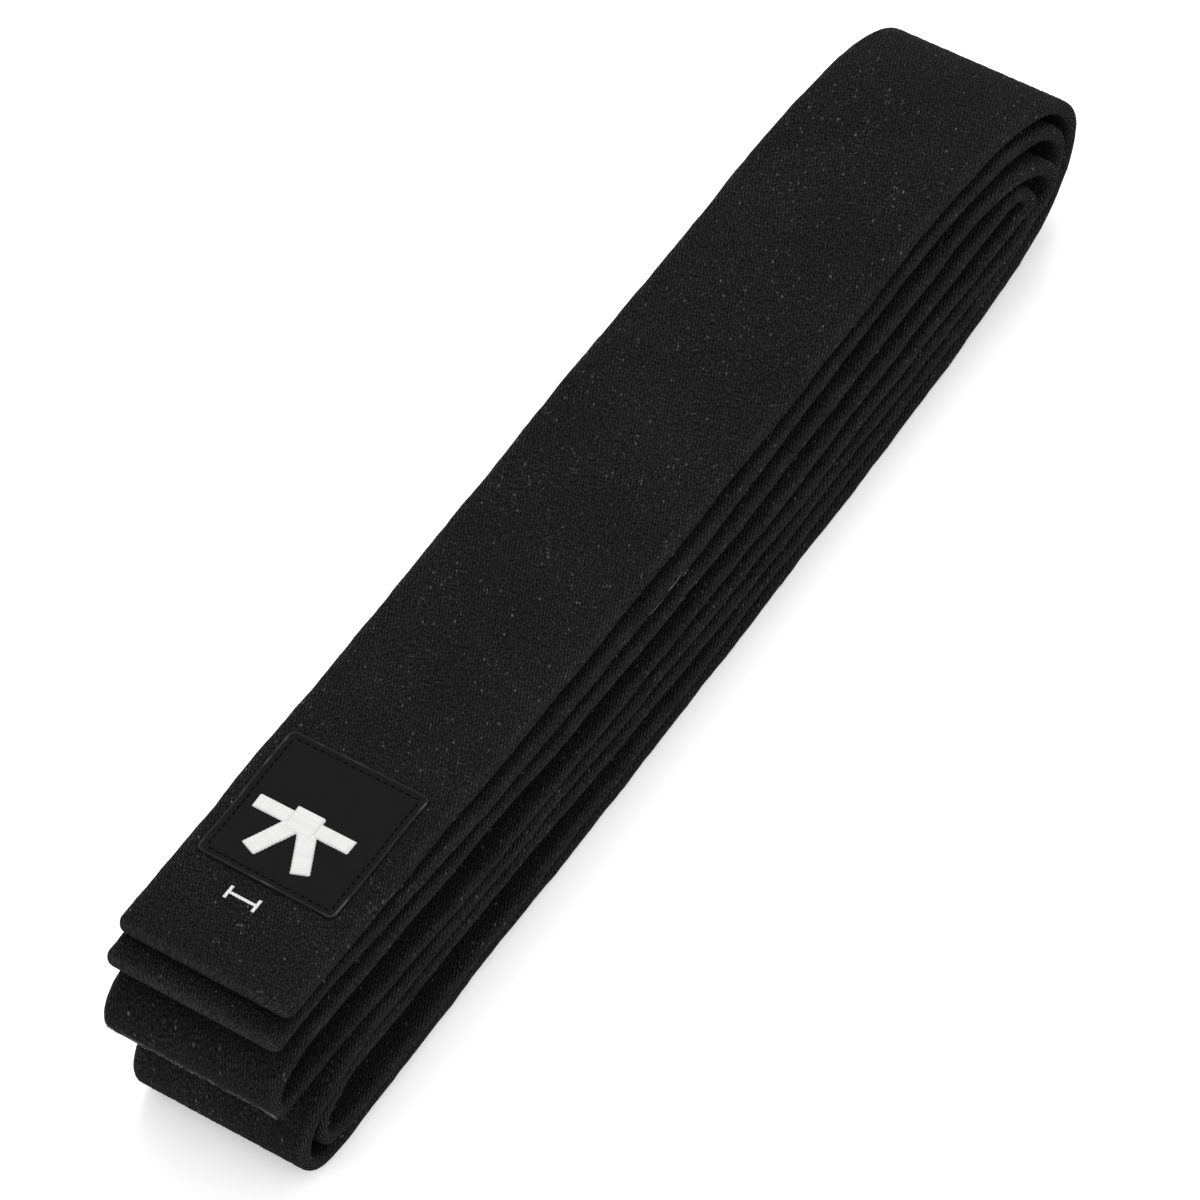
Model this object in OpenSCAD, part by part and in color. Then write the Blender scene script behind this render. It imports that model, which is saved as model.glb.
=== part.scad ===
// Martial arts belt: one stitched cotton strap, folded in half three times into a bundle of eight runs.
// The route is drawn in the side plane, with y towards the back folds and z up from the floor, and each
// run is moved sideways by its own shift. Run 0 is the top one, with the label, and run 7 is the lowest.

/* [Strap] */
// Width of the strap
belt_w = 50; // [44:1:54]
// Thickness of the strap without its stitching
belt_t = 3.7; // [3:0.1:3.8]
// Thickness of the cotton cover's wall
cover_wall = 0.6; // [0.4:0.1:0.8]

/* [Stitching] */
// Width of a row of thread
thread_w = 0.6; // [0.4:0.1:0.8]
// How far the thread stands above the cloth's surface
thread_h = 0.25; // [0.2:0.05:0.3]

/* [Label] */
// Width of the label across the strap
label_w = 39.4; // [36:0.2:40]
// Length of the label along the strap
label_l = 45; // [40:1:50]
// Thickness of the label's face
label_t = 0.6; // [0.4:0.1:1]
// Distance from the strap's free end to the label
label_start = 29.6; // [24:0.2:30]
// Distance from the strap's left edge to the label
label_left = 3.9; // [3:0.1:5]

/* [Bundle] */
// How far the front folds lean out of square, from the left edge to the right
front_skew = 2; // [0:0.1:4]
// Share by which the back folds rise on their right side and sink on their left
back_twist = 0.05; // [0:0.01:0.06]

/* [Hidden] */
// Distances from the top free end at which every run has a station
stations = [16, 80, 165, 260];
// Height of each run's middle at its stations
run_z = [
    [58.5, 54.5, 50.5, 48],
    [53, 49, 45, 43],
    [45.5, 44, 39.5, 36],
    [31, 30.5, 29.5, 29],
    [26.2, 25.5, 23.5, 22],
    [21.5, 20.5, 17.5, 15.2],
    [7, 7, 8, 8.4],
    [2.1, 2.1, 2.1, 2.1]
];
// Sideways shift of each run at its stations
run_x = [
    [0, 0, 0, 0],
    [0.5, 2.5, 3, 1.5],
    [2.2, 3.8, 5, 4],
    [2.8, 5, 6, 6],
    [6, 5.5, 7, 7],
    [6.2, 6, 7.5, 7],
    [7.3, 7.5, 7.5, 7],
    [7, 7, 7.5, 7]
];
// Back folds: upper run, lower run, reach behind the last station, radius at the tip, then how far
// the tip sags and how far it leans to the right
back_folds = [
    [0, 7, 92, 9, 0, 0], [1, 6, 84.7, 5.8, 0.6, 0.4], [2, 5, 75.3, 4, 1, 2.9], [3, 4, 66, 3.4, 1.4, 1.8]
];
// Rounded front folds: upper run, lower run, reach, y of the middle, sideways shift
front_outer = [4, 7, 12.5, 10.5, 6.9];
front_inner = [5, 6, 7.3, 13.2, 6.8];
// The two free ends and the creased front fold between runs 2 and 3, as x, y and z
label_end = [[0, 0.4, 59.5], [0, 4, 59.3]];
plain_end = [[0.6, -2, 53.8], [0.6, -6, 53.9]];
crease = [
    [2.2, -3.6, 31], [2.2, -5.9, 31.9], [2.2, -7.2, 34], [2.2, -7.7, 37.9],
    [2.2, -6, 41.9], [2.2, -1, 44.6], [2.2, 6, 45.6]
];
back_steps = 8;
front_steps = 6;
skew_ends = 110;
twist_starts = 190;
twist_grows = 120;
gap = 0.05;
label_clearance = 0.15;
label_round = 2;
border_w = 0.8;
border_t = 0.8;
edge_in = 1.1;
edge_h = 0.8;
lip_h = 1.3;
slit = 0.05;
ply_count = 3;
row_count = 16;
row_margin = 2;
ply_margin = 1.5;
ply_w = belt_w - 2 * cover_wall - 2 * ply_margin;
row_pitch = (belt_w - 2 * row_margin) / (row_count - 1);
half_t = belt_t / 2;
last = len(stations) - 1;

// ---- the route ----

function flip(list) = [for (i = [len(list) - 1 : -1 : 0]) list[i]];
function run(k) = [for (i = [0 : last]) [run_x[k][i], stations[i], run_z[k][i]]];

// A back fold is a superellipse that leaves its upper run level and reaches its lower run level
function back_fold(f) =
    let (
        top = run(f[0])[last],
        low = run(f[1])[last],
        half = (top.z - low.z) / 2,
        power = half * half / (f[2] * f[3])
    )
    [for (i = [1 : back_steps - 1])
        let (t = 180 * i / back_steps, down = (1 - cos(t)) / 2, lean = pow(sin(t), 2))
        [
            top.x + (low.x - top.x) * down + f[5] * lean,
            top.y + f[2] * pow(sin(t), power),
            low.z + half * (1 + cos(t)) - f[4] * lean
        ]];

function front_fold(f) =
    let (top = run_z[f[0]][0], low = run_z[f[1]][0], half = (top - low) / 2)
    [for (i = [0 : front_steps])
        let (t = 180 * i / front_steps)
        [f[4], f[3] - f[2] * sin(t), low + half * (1 + cos(t))]];

route = concat(
    label_end, run(0), back_fold(back_folds[0]), flip(run(7)),
    flip(front_fold(front_outer)), run(4), flip(back_fold(back_folds[3])), flip(run(3)),
    crease, run(2), back_fold(back_folds[2]), flip(run(5)),
    front_fold(front_inner), run(6), flip(back_fold(back_folds[1])), flip(run(1)),
    flip([plain_end[1], plain_end[0]])
);
steps = len(route) - 1;

// Direction in the side plane and the outward normal at each point
function unit(v) = v / norm(v);
function side(a, b) = unit([0, b.y - a.y, b.z - a.z]);
function heading(path, i) =
    i == 0 ? side(path[0], path[1]) :
    i == len(path) - 1 ? side(path[i - 1], path[i]) :
    unit(side(path[i - 1], path[i]) + side(path[i], path[i + 1]));
function normal(path, i) = let (h = heading(path, i)) [0, -h.z, h.y];

// A mitre keeps the thickness true where the route bends
function mitre(path, i) =
    (i == 0 || i == len(path) - 1) ? 1 :
    1 / max(0.8, heading(path, i) * side(path[i], path[i + 1]));

function ease(u) = let (v = min(1, max(0, u))) v * v * (3 - 2 * v);

// The whole bundle's front folds lean a little, and its back folds are a little higher on the right
bundle_mid = -belt_w / 2 + 3;
function settle(p) =
    let (across = (p.x - bundle_mid) / (belt_w / 2))
    [
        p.x,
        p.y - front_skew / 2 * across * (1 - ease(p.y / skew_ends)),
        p.z * (1 + back_twist * across * ease((p.y - twist_starts) / twist_grows))
    ];

// One point of the strap: x from its right edge's shift, h from its middle along the normal
function on_strap(path, i, x, h) =
    settle(path[i] + [x - belt_w / 2, 0, 0] + normal(path, i) * h * mitre(path, i));

// ---- solids swept along the route ----

// Rings all have the same number of points, listed clockwise as seen from the route's start
function wall_faces(count, n, start, flipped) =
    [for (i = [0 : count - 2], j = [0 : n - 1])
        let (
            a = start + i * n + j,
            b = start + (i + 1) * n + j,
            c = start + (i + 1) * n + (j + 1) % n,
            d = start + i * n + (j + 1) % n
        )
        each (flipped ? [[a, d, c], [a, c, b]] : [[a, b, c], [a, c, d]])];

module swept(rings) {
    n = len(rings[0]);
    count = len(rings);
    polyhedron(
        points = [for (ring = rings) each ring],
        faces = concat(
            wall_faces(count, n, 0, false),
            [[for (j = [0 : n - 1]) j], [for (j = [n - 1 : -1 : 0]) (count - 1) * n + j]]
        ),
        convexity = 20
    );
}

// A sleeve with open ends, from rings of its outer and its inner surface
module sleeve(outer, inner) {
    n = len(outer[0]);
    count = len(outer);
    second = n * count;
    foot = n * (count - 1);
    polyhedron(
        points = concat([for (ring = outer) each ring], [for (ring = inner) each ring]),
        faces = concat(
            wall_faces(count, n, 0, false),
            wall_faces(count, n, second, true),
            [for (j = [0 : n - 1]) [j, (j + 1) % n, second + (j + 1) % n, second + j]],
            [for (j = [0 : n - 1])
                [foot + j, second + foot + j, second + foot + (j + 1) % n, foot + (j + 1) % n]]
        ),
        convexity = 20
    );
}

// Section of the sleeve: a flat oval with eight corners
function oval(half_w, half_h, corner_h) = [
    [-half_w, -corner_h], [-half_w, corner_h], [-half_w + edge_in, half_h], [half_w - edge_in, half_h],
    [half_w, corner_h], [half_w, -corner_h], [half_w - edge_in, -half_h], [-half_w + edge_in, -half_h]
];
function ring(path, i, section) = [for (s = section) on_strap(path, i, s.x, s.y)];
function at_end(i) = i == 0 || i == steps;

// The cover is one sleeve of cloth whose mouths are pressed shut at the free ends
module cover() {
    outer_w = belt_w / 2;
    inner_w = outer_w - cover_wall;
    inner_h = half_t - cover_wall;
    outer = [for (i = [0 : steps])
        ring(route, i, at_end(i) ? oval(outer_w, lip_h, edge_h / 2) : oval(outer_w, half_t, edge_h))];
    inner = [for (i = [0 : steps])
        ring(route, i, at_end(i) ? oval(inner_w, slit, slit / 2) : oval(inner_w, inner_h, edge_h / 2))];
    color("#1c1c1e") sleeve(outer, inner);
}

// The plies lie flat on each other inside the sleeve and end short of its mouths
ply_room = belt_t - 2 * cover_wall;
ply_t = (ply_room - gap * (ply_count + 1)) / ply_count;
function ply_h(k) = ply_room / 2 - gap - ply_t / 2 - k * (ply_t + gap);
inner_route = [for (i = [1 : steps - 1]) route[i]];

module core_ply(k) {
    h = ply_h(k);
    section = [
        [-ply_w / 2, h - ply_t / 2], [-ply_w / 2, h + ply_t / 2],
        [ply_w / 2, h + ply_t / 2], [ply_w / 2, h - ply_t / 2]
    ];
    color("#e6dfcd") swept([for (i = [0 : len(inner_route) - 1]) ring(inner_route, i, section)]);
}

// One row of lockstitch: the needle's thread on the outer face and the bobbin's on the inner face.
// Where the lowest run lies on the floor the needle's thread is pressed flush into the cloth, so it is
// drawn only up to the last point of the back fold and again from the first point of the front fold.
row_start = len(label_end);
row_end = steps - len(plain_end);
floor_start = row_start + len(stations) + back_steps - 2;
floor_end = floor_start + len(stations) + 2;

module thread(first, last_point, section) {
    stretch = [for (i = [first : last_point]) route[i]];
    swept([for (i = [0 : len(stretch) - 1]) ring(stretch, i, section)]);
}

module stitch_row(k) {
    x = -belt_w / 2 + row_margin + (k - 1) * row_pitch;
    base = half_t + gap;
    top = half_t + thread_h;
    needle = [[x - thread_w / 2, base], [x, top], [x + thread_w / 2, base]];
    bobbin = [[x + thread_w / 2, -base], [x, -top], [x - thread_w / 2, -base]];
    color("#29292c") {
        thread(row_start, floor_start, needle);
        thread(floor_end, row_end, needle);
        thread(row_start, row_end, bobbin);
    }
}

// ---- pieces near the free ends, placed by their distance from the end ----

cross_start = 1.2;
cross_pitch = 2.2;
cross_inset = 1.6;

// A point on the straight stretch from one route point to another, at a share of the way
function between(a, b, share, x, h) =
    let (path = [a, b])
    settle(a + (b - a) * share + [x - belt_w / 2, 0, 0] + normal(path, 0) * h);

// A low bar of thread across the strap, on the stretch from a to b, between two distances from a
module cross_bar(a, b, from, to, side_sign) {
    span = norm(b - a);
    reach = belt_w / 2 - cross_inset;
    low = side_sign * (half_t + gap);
    high = side_sign * (half_t + thread_h);
    first = side_sign > 0 ? from : to;
    second = side_sign > 0 ? to : from;
    section_at = function(x) [
        between(a, b, first / span, x, low), between(a, b, first / span, x, high),
        between(a, b, second / span, x, high), between(a, b, second / span, x, low)
    ];
    swept([section_at(reach), section_at(0), section_at(-reach)]);
}

// Two cross rows close the mouth of the sleeve at each free end
module cross_rows(a, b, start) {
    for (row = [0, 1], side_sign = [1, -1])
        cross_bar(a, b, start + row * cross_pitch, start + row * cross_pitch + thread_w, side_sign);
}

module label_end_stitching() {
    color("#29292c") cross_rows(route[1], route[2], cross_start);
}

module plain_end_stitching() {
    color("#29292c") cross_rows(route[steps - 1], route[steps - 2], cross_start);
}

// The label's own plane: its origin is the middle of its lower face, x runs across, y towards the back
label_mid_y = label_end[0].y + label_start + label_l / 2;
label_a = route[2];
label_b = route[3];
label_slope = atan2(label_b.z - label_a.z, label_b.y - label_a.y);
label_x = -belt_w + label_left + label_w / 2;
label_z = label_a.z + (label_mid_y - label_a.y) * tan(label_slope)
    + (half_t + thread_h + label_clearance) / cos(label_slope);

module on_label() {
    translate([label_x, label_mid_y, label_z]) rotate([label_slope, 0, 0]) children();
}

module rounded_plate(w, l, r, h) {
    linear_extrude(h) hull() {
        for (sx = [-1, 1], sy = [-1, 1])
            translate([sx * (w / 2 - r), sy * (l / 2 - r)]) circle(r, $fn = 32);
    }
}

module label_patch() {
    less = 2 * border_w + 2 * gap;
    color("#151517") on_label()
        rounded_plate(label_w - less, label_l - less, label_round - border_w, label_t);
}

// The border is a bound edge that stands a little above the patch
module label_border() {
    color("#333337") on_label() difference() {
        rounded_plate(label_w, label_l, label_round, border_t);
        less = 2 * border_w;
        translate([0, 0, -1])
            rounded_plate(label_w - less, label_l - less, label_round - border_w, border_t + 2);
    }
}

// Stitches in a line just inside the border, with the same pitch on all four sides
stitch_l = 1.5;
stitch_w = 0.45;
stitch_t = 0.2;
stitch_pitch = 2.4;
stitch_inset = border_w + 1.6;

module stitch_line(length) {
    count = floor(length / stitch_pitch);
    for (i = [0 : count - 1])
        translate([(i - (count - 1) / 2) * stitch_pitch, 0, label_t + gap + stitch_t / 2])
            cube([stitch_l, stitch_w, stitch_t], center = true);
}

module label_stitching() {
    across = label_w - 2 * stitch_inset;
    along = label_l - 2 * stitch_inset;
    color("#0c0c0d") on_label() {
        for (s = [-1, 1]) {
            translate([0, s * along / 2, 0]) stitch_line(across - 2);
            translate([s * across / 2, 0, 0]) rotate([0, 0, 90]) stitch_line(along - 2);
        }
    }
}

// Embroidered emblem: a tied belt, as a band, a knot and two tails that hang apart
emblem_t = 0.5;
band_w = 27;
band_h = 4.6;
knot_w = 8;
tail_w = 5;
tail_l = 13;
tail_angle = 24;
emblem_x = -1.7;
emblem_y = -3.6;

module emblem_shape() {
    translate([-band_w / 2, 0]) square([band_w, band_h]);
    translate([-knot_w / 2, -1.6]) square([knot_w, knot_w]);
    for (s = [-1, 1])
        translate([s * 1.8, 1]) rotate(s * tail_angle) translate([-tail_w / 2, -tail_l - 1])
            square([tail_w, tail_l]);
}

module label_emblem() {
    color("#f4f4f4") on_label() translate([emblem_x, emblem_y, label_t + gap])
        linear_extrude(emblem_t) emblem_shape();
}

// Printed size mark below the label: a measuring line between two end ticks
mark_w = 8;
mark_h = 4.2;
mark_line = 0.8;
mark_gap = 6.4;
mark_left = 17.8;

module size_mark() {
    color("#e9e9e9") on_label() translate([mark_left - label_w / 2, -label_l / 2 - mark_gap, 0])
        linear_extrude(0.15) {
            square([mark_w, mark_line], center = true);
            for (s = [-1, 1]) translate([s * mark_w / 2, 0]) square([mark_line, mark_h], center = true);
        }
}

// ---- placing: the origin is under the lowest run's cover, in the middle of the bundle's box ----

all_x = [for (i = [0 : steps], s = [-1, 1]) on_strap(route, i, s * belt_w / 2, 0).x];
all_y = [
    for (i = [0 : steps], s = [-1, 1], h = [-1, 1]) on_strap(route, i, s * belt_w / 2, h * half_t).y
];
all_z = [for (p = run(7)) p.z - half_t];
origin = [(min(all_x) + max(all_x)) / 2, (min(all_y) + max(all_y)) / 2, min(all_z)];

module placed() {
    translate(-origin) children();
}

placed() cover();
placed() core_ply(0);  // core_ply_upper
placed() core_ply(1);  // core_ply_middle
placed() core_ply(2);  // core_ply_lower
placed() stitch_row(1);  // stitch_row_01
placed() stitch_row(2);  // stitch_row_02
placed() stitch_row(3);  // stitch_row_03
placed() stitch_row(4);  // stitch_row_04
placed() stitch_row(5);  // stitch_row_05
placed() stitch_row(6);  // stitch_row_06
placed() stitch_row(7);  // stitch_row_07
placed() stitch_row(8);  // stitch_row_08
placed() stitch_row(9);  // stitch_row_09
placed() stitch_row(10);  // stitch_row_10
placed() stitch_row(11);  // stitch_row_11
placed() stitch_row(12);  // stitch_row_12
placed() stitch_row(13);  // stitch_row_13
placed() stitch_row(14);  // stitch_row_14
placed() stitch_row(15);  // stitch_row_15
placed() stitch_row(16);  // stitch_row_16
placed() label_end_stitching();
placed() plain_end_stitching();
placed() label_patch();
placed() label_border();
placed() label_stitching();
placed() label_emblem();
placed() size_mark();
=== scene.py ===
"""Martial arts belt, folded in half three times: its cloth, threads, label and lint.

The strap follows the same route as its solids. Lengths along and across it are in millimetres until
`world` turns them into the frame's metres.
"""

import math

import bpy
import numpy as np
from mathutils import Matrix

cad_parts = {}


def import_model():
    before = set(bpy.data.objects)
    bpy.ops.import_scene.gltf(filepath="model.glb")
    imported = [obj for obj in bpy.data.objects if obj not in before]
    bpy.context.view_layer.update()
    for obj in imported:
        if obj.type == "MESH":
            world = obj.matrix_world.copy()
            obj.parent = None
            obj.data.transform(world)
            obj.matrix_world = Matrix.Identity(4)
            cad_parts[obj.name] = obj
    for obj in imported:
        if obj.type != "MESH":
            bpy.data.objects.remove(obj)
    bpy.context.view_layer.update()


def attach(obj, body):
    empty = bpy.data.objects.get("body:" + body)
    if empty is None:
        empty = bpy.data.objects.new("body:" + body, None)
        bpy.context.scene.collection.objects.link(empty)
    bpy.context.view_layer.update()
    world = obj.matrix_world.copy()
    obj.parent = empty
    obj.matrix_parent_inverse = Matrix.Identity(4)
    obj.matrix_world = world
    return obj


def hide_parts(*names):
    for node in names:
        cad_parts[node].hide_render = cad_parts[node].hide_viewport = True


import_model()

MM = 0.001
BODY = "root"

# ---- the strap and its stitching ----
STRAP_W = 50.0
BODY_T = 3.7
COVER_WALL = 0.6
ROW_COUNT = 16
ROW_MARGIN = 2.0
ROW_PITCH = (STRAP_W - 2 * ROW_MARGIN) / (ROW_COUNT - 1)
ROW_X = [-STRAP_W / 2 + ROW_MARGIN + i * ROW_PITCH for i in range(ROW_COUNT)]
THREAD_W = 0.62
STITCH = 3.4
HALF = BODY_T / 2
PILLOW = 0.2
EDGE_R = 2.0
FLOOR_GAP = 0.02

# ---- the route: y towards the back folds, z up from the floor, one sideways shift for each run ----
STATIONS = [16, 80, 165, 260]
RUN_Z = [
    [58.5, 54.5, 50.5, 48],
    [53, 49, 45, 43],
    [45.5, 44, 39.5, 36],
    [31, 30.5, 29.5, 29],
    [26.2, 25.5, 23.5, 22],
    [21.5, 20.5, 17.5, 15.2],
    [7, 7, 8, 8.4],
    [2.1, 2.1, 2.1, 2.1],
]
RUN_X = [
    [0, 0, 0, 0],
    [0.5, 2.5, 3, 1.5],
    [2.2, 3.8, 5, 4],
    [2.8, 5, 6, 6],
    [6, 5.5, 7, 7],
    [6.2, 6, 7.5, 7],
    [7.3, 7.5, 7.5, 7],
    [7, 7, 7.5, 7],
]
# upper run, lower run, reach behind the last station, radius at the tip, the tip's sag and lean
BACK_FOLDS = [
    (0, 7, 92, 9, 0, 0), (1, 6, 84.7, 5.8, 0.6, 0.4), (2, 5, 75.3, 4, 1, 2.9), (3, 4, 66, 3.4, 1.4, 1.8)
]
# upper run, lower run, reach, y of the middle, sideways shift
FRONT_OUTER = (4, 7, 12.5, 10.5, 6.9)
FRONT_INNER = (5, 6, 7.3, 13.2, 6.8)
LABEL_END = [(0, 0.4, 59.5), (0, 4, 59.3)]
PLAIN_END = [(0.6, -2, 53.8), (0.6, -6, 53.9)]
CREASE = [
    (2.2, -3.6, 31), (2.2, -5.9, 31.9), (2.2, -7.2, 34), (2.2, -7.7, 37.9),
    (2.2, -6, 41.9), (2.2, -1, 44.6), (2.2, 6, 45.6),
]
BACK_STEPS = 8
FRONT_STEPS = 6
FRONT_SKEW = 2.0
BACK_TWIST = 0.05
SKEW_ENDS = 110
TWIST_STARTS = 190
TWIST_GROWS = 120

# ---- the label, from the free end of the top run ----
LABEL_W = 39.4
LABEL_L = 45.0
LABEL_X = -STRAP_W / 2 + 3.9 + LABEL_W / 2
LABEL_S = 29.6 + LABEL_L / 2
BORDER_W = 0.8
LABEL_LIFT = HALF + 0.4

rng = np.random.RandomState(20)


# ---- route ----


def run(k):
    return [(RUN_X[k][i], STATIONS[i], RUN_Z[k][i]) for i in range(len(STATIONS))]


def back_fold(fold):
    """A superellipse from the upper run's level down to the lower run's."""
    upper, lower, reach, tip_r, sag, lean = fold
    top, low = run(upper)[-1], run(lower)[-1]
    half = (top[2] - low[2]) / 2
    power = half * half / (reach * tip_r)
    points = []
    for i in range(1, BACK_STEPS):
        t = math.pi * i / BACK_STEPS
        down = (1 - math.cos(t)) / 2
        near = math.sin(t) ** 2
        x = top[0] + (low[0] - top[0]) * down + lean * near
        z = low[2] + half * (1 + math.cos(t)) - sag * near
        points.append((x, top[1] + reach * math.sin(t) ** power, z))
    return points


def front_fold(fold):
    upper, lower, reach, mid_y, x = fold
    low = RUN_Z[lower][0]
    half = (RUN_Z[upper][0] - low) / 2
    turns = [math.pi * i / FRONT_STEPS for i in range(FRONT_STEPS + 1)]
    return [(x, mid_y - reach * math.sin(t), low + half * (1 + math.cos(t))) for t in turns]


def route():
    return np.array(
        LABEL_END + run(0) + back_fold(BACK_FOLDS[0]) + run(7)[::-1]
        + front_fold(FRONT_OUTER)[::-1] + run(4) + back_fold(BACK_FOLDS[3])[::-1] + run(3)[::-1]
        + CREASE + run(2) + back_fold(BACK_FOLDS[2]) + run(5)[::-1]
        + front_fold(FRONT_INNER) + run(6) + back_fold(BACK_FOLDS[1])[::-1] + run(1)[::-1]
        + PLAIN_END,
        float,
    )


def ease(u):
    v = np.clip(u, 0, 1)
    return v * v * (3 - 2 * v)


def settle(p):
    """The whole bundle's front folds lean a little, and its back folds rise on the right."""
    across = (p[..., 0] + STRAP_W / 2 - 3) / (STRAP_W / 2)
    y = p[..., 1] - FRONT_SKEW / 2 * across * (1 - ease(p[..., 1] / SKEW_ENDS))
    z = p[..., 2] * (1 + BACK_TWIST * across * ease((p[..., 1] - TWIST_STARTS) / TWIST_GROWS))
    return np.stack([p[..., 0], y, z], -1)


def unit(v):
    return v / np.linalg.norm(v, axis=-1, keepdims=True)


def model_origin(points):
    """The frame's origin on the route's axes, as the solids have it: the middle of the strap's box."""
    legs = np.diff(points, axis=0)
    legs[:, 0] = 0
    legs = unit(legs)
    heading = np.vstack([legs[:1], unit(legs[:-1] + legs[1:]), legs[-1:]])
    ahead = np.vstack([legs, legs[-1:]])
    mitre = 1 / np.maximum(0.8, (heading * ahead).sum(1))
    mitre[[0, -1]] = 1
    normal = np.stack([0 * mitre, -heading[:, 2], heading[:, 1]], 1)
    ys = []
    for side in (-1, 1):
        for h in (-HALF, HALF):
            shift = np.array([side * STRAP_W / 2 - STRAP_W / 2, 0, 0])
            ys.append(settle(points + shift + normal * (h * mitre)[:, None])[:, 1])
    xs = points[:, 0]
    return np.array(
        [
            (xs.min() - STRAP_W + xs.max()) / 2,
            (np.min(ys) + np.max(ys)) / 2,
            min(RUN_Z[7]) - HALF,
        ]
    )


def rounded(points, per_leg=40):
    """A centripetal curve through the points, with many points on each leg."""
    out = []
    last = len(points) - 2
    for i in range(last + 1):
        p0, p1, p2, p3 = (points[min(max(i + k, 0), last + 1)] for k in (-1, 0, 1, 2))
        t2 = math.sqrt(np.linalg.norm(p2 - p1))
        t1 = math.sqrt(np.linalg.norm(p1 - p0)) if i > 0 else t2
        t3 = math.sqrt(np.linalg.norm(p3 - p2)) if i < last else t2
        m1 = m2 = p2 - p1
        if i > 0:
            m1 = ((p1 - p0) / t1 - (p2 - p0) / (t1 + t2) + (p2 - p1) / t2) * t2
        if i < last:
            m2 = ((p2 - p1) / t2 - (p3 - p1) / (t2 + t3) + (p3 - p2) / t3) * t2
        s = (np.arange(per_leg) / per_leg)[:, None]
        out.append(
            (2 * s**3 - 3 * s**2 + 1) * p1 + (s**3 - 2 * s**2 + s) * m1
            + (-2 * s**3 + 3 * s**2) * p2 + (s**3 - s**2) * m2
        )
    out.append(points[-1:])
    return np.vstack(out)


ROUTE = route()
ORIGIN = model_origin(ROUTE)
CURVE = rounded(ROUTE)
CURVE_S = np.concatenate([[0], np.cumsum(np.linalg.norm(np.diff(CURVE, axis=0), axis=1))])
LENGTH = CURVE_S[-1]
_heading = np.gradient(CURVE[:, 1:], CURVE_S, axis=0)
_heading = unit(_heading)
CURVE_N = np.stack([0 * CURVE_S, -_heading[:, 1], _heading[:, 0]], 1)
_turn = np.gradient(np.unwrap(np.arctan2(_heading[:, 1], _heading[:, 0])), CURVE_S)
BEND_R = 1 / np.maximum(np.abs(_turn), 1e-4)


def ripple(s, wavelength, seed):
    """A smooth wander between about -1 and 1, the same on every run of the script."""
    r = np.random.RandomState(seed)
    total = 0 * s
    for scale in (1.0, 0.61, 0.37):
        total = total + np.sin(2 * math.pi * s / (wavelength * scale) + r.uniform(0, 2 * math.pi))
    return total / 3


def world(s, x, h):
    """Frame points, in metres, from the distance along the strap, the distance from its middle line
    and the height over its middle layer on the outer face. What lies on the floor is pressed flat."""
    s, x, h = np.broadcast_arrays(*(np.asarray(v, float) for v in (s, x, h)))
    p = np.stack([np.interp(s, CURVE_S, CURVE[:, k]) for k in range(3)], -1)
    n = unit(np.stack([np.interp(s, CURVE_S, CURVE_N[:, k]) for k in range(3)], -1))
    h = h + 0.07 * ripple(s, 83, 3)
    p[..., 0] += x - STRAP_W / 2 + 0.3 * ripple(s, 118, 5) * ease(s / 60) * ease((LENGTH - s) / 60)
    p = settle(p + n * h[..., None]) - ORIGIN
    p[..., 2] = np.maximum(p[..., 2], FLOOR_GAP)
    return p * MM


def ring_places():
    """Distances along the strap for the cover's rings: close together on bends and at the ends."""
    room = np.minimum(CURVE_S, LENGTH - CURVE_S)
    step = np.clip(0.16 * BEND_R, 0.6, 2.2)
    step = np.minimum(step, 0.22 + 0.11 * room)
    for _ in range(3):
        step = np.minimum(step, np.interp(CURVE_S - 1.5, CURVE_S, step) * 1.15)
        step = np.minimum(step, np.interp(CURVE_S + 1.5, CURVE_S, step) * 1.15)
    count = np.concatenate([[0], np.cumsum(np.diff(CURVE_S) / step[1:])])
    return np.interp(np.linspace(0, count[-1], int(count[-1]) + 1), count, CURVE_S)


# ---- meshes ----


def new_object(name, mesh):
    obj = bpy.data.objects.new(name, mesh)
    bpy.context.scene.collection.objects.link(obj)
    return obj


def build(name, points, polygons, material, corner_uv=None, smooth=True, masks=None):
    """One object from numpy points, a list of (count, n) index arrays, and the corners' UVs."""
    mesh = bpy.data.meshes.new(name)
    sizes = np.concatenate([np.full(len(p), p.shape[1]) for p in polygons if len(p)])
    loops = np.concatenate([np.asarray(p).ravel() for p in polygons if len(p)])
    mesh.vertices.add(len(points))
    mesh.vertices.foreach_set("co", np.ascontiguousarray(points, np.float32).ravel())
    mesh.loops.add(len(loops))
    mesh.loops.foreach_set("vertex_index", loops.astype(np.int32))
    mesh.polygons.add(len(sizes))
    starts = np.concatenate([[0], np.cumsum(sizes)[:-1]])
    mesh.polygons.foreach_set("loop_start", starts.astype(np.int32))
    mesh.polygons.foreach_set("loop_total", sizes.astype(np.int32))
    mesh.update(calc_edges=True)
    mesh.validate()
    mesh.polygons.foreach_set("use_smooth", np.full(len(mesh.polygons), smooth))
    if corner_uv is not None:
        layer = mesh.uv_layers.new(name="cloth")
        layer.data.foreach_set("uv", np.ascontiguousarray(corner_uv, np.float32).ravel())
    for mask, values in (masks or {}).items():
        attribute = mesh.attributes.new(mask, "FLOAT", "POINT")
        attribute.data.foreach_set("value", np.ascontiguousarray(values, np.float32).ravel())
    mesh.materials.append(material)
    return new_object(name, mesh)


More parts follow.
